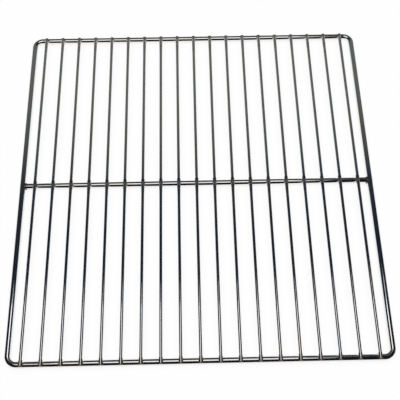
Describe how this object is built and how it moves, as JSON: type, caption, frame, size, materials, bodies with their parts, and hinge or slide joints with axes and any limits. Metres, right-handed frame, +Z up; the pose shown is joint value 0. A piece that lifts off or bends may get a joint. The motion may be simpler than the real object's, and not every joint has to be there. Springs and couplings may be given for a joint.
{
  "type": "fryer basket support rack",
  "caption": "Flat wire rack: a closed frame of bent round rod with a middle cross rod, decked with thin parallel wires, that carries fry baskets inside a deep fryer.",
  "frame": {"origin": "middle of the rack, on the plane that the undersides of the frame and the cross rod rest on", "axes": "+X across the width to the right, along the cross rod; +Y along the deck wires to the rear; +Z up through the deck"},
  "size_m": [0.343, 0.3556, 0.0095],
  "materials": {
    "plated_rod": "bright nickel-chrome plate over drawn steel rod",
    "plated_wire": "bright nickel-chrome plate over drawn steel wire"
  },
  "bodies": {
    "root": {"perimeter_frame": "plated_rod", "cross_rod": "plated_rod", "wire_01": "plated_wire", "wire_02": "plated_wire", "wire_03": "plated_wire", "wire_04": "plated_wire", "wire_05": "plated_wire", "wire_06": "plated_wire", "wire_07": "plated_wire", "wire_08": "plated_wire", "wire_09": "plated_wire", "wire_10": "plated_wire", "wire_11": "plated_wire", "wire_12": "plated_wire", "wire_13": "plated_wire", "wire_14": "plated_wire", "wire_15": "plated_wire", "wire_16": "plated_wire", "wire_17": "plated_wire", "wire_18": "plated_wire", "wire_19": "plated_wire"}
  },
  "joints": []
}
